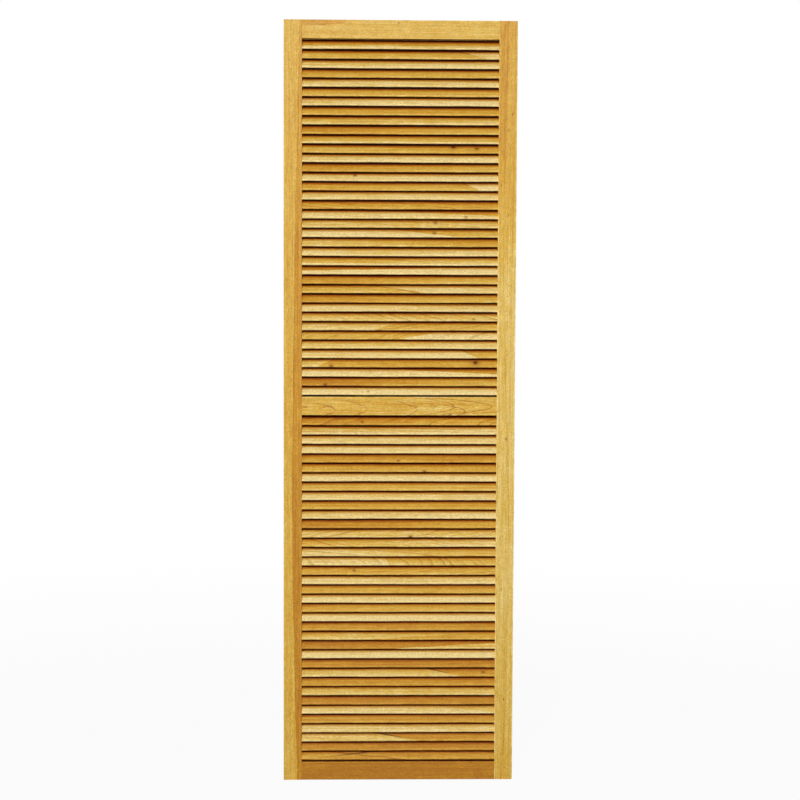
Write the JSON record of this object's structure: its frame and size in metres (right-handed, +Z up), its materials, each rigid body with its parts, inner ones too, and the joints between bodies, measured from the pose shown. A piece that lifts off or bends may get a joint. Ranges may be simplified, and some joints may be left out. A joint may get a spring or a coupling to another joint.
{
  "type": "louvered closet door",
  "caption": "Narrow wooden closet door leaf with fixed slanted slats in two fields between stiles and rails.",
  "frame": {"origin": "middle of the door's foot, halfway through its thickness", "axes": "+Z up, the front face looks along -Y, +X to the right seen from the front"},
  "size_m": [0.6096, 0.0286, 2.0066],
  "materials": {
    "stile_wood": "satin clear finish",
    "rail_wood": "satin clear finish",
    "slat_wood": "satin clear finish"
  },
  "bodies": {
    "root": {"bottom_rail": "rail_wood", "left_stile": "stile_wood", "lower_slat_37": "slat_wood", "lower_slats_01_02": "slat_wood", "lower_slats_03_04": "slat_wood", "lower_slats_05_06": "slat_wood", "lower_slats_07_08": "slat_wood", "lower_slats_09_10": "slat_wood", "lower_slats_11_12": "slat_wood", "lower_slats_13_14": "slat_wood", "lower_slats_15_16": "slat_wood", "lower_slats_17_18": "slat_wood", "lower_slats_19_20": "slat_wood", "lower_slats_21_22": "slat_wood", "lower_slats_23_24": "slat_wood", "lower_slats_25_26": "slat_wood", "lower_slats_27_28": "slat_wood", "lower_slats_29_30": "slat_wood", "lower_slats_31_32": "slat_wood", "lower_slats_33_34": "slat_wood", "lower_slats_35_36": "slat_wood", "mid_rail": "rail_wood", "right_stile": "stile_wood", "top_rail": "rail_wood", "upper_slats_01_02": "slat_wood", "upper_slats_03_04": "slat_wood", "upper_slats_05_06": "slat_wood", "upper_slats_07_08": "slat_wood", "upper_slats_09_10": "slat_wood", "upper_slats_11_12": "slat_wood", "upper_slats_13_14": "slat_wood", "upper_slats_15_16": "slat_wood", "upper_slats_17_18": "slat_wood", "upper_slats_19_20": "slat_wood", "upper_slats_21_22": "slat_wood", "upper_slats_23_24": "slat_wood", "upper_slats_25_26": "slat_wood", "upper_slats_27_28": "slat_wood", "upper_slats_29_30": "slat_wood", "upper_slats_31_32": "slat_wood", "upper_slats_33_34": "slat_wood", "upper_slats_35_36": "slat_wood", "upper_slats_37_38": "slat_wood"}
  },
  "joints": []
}
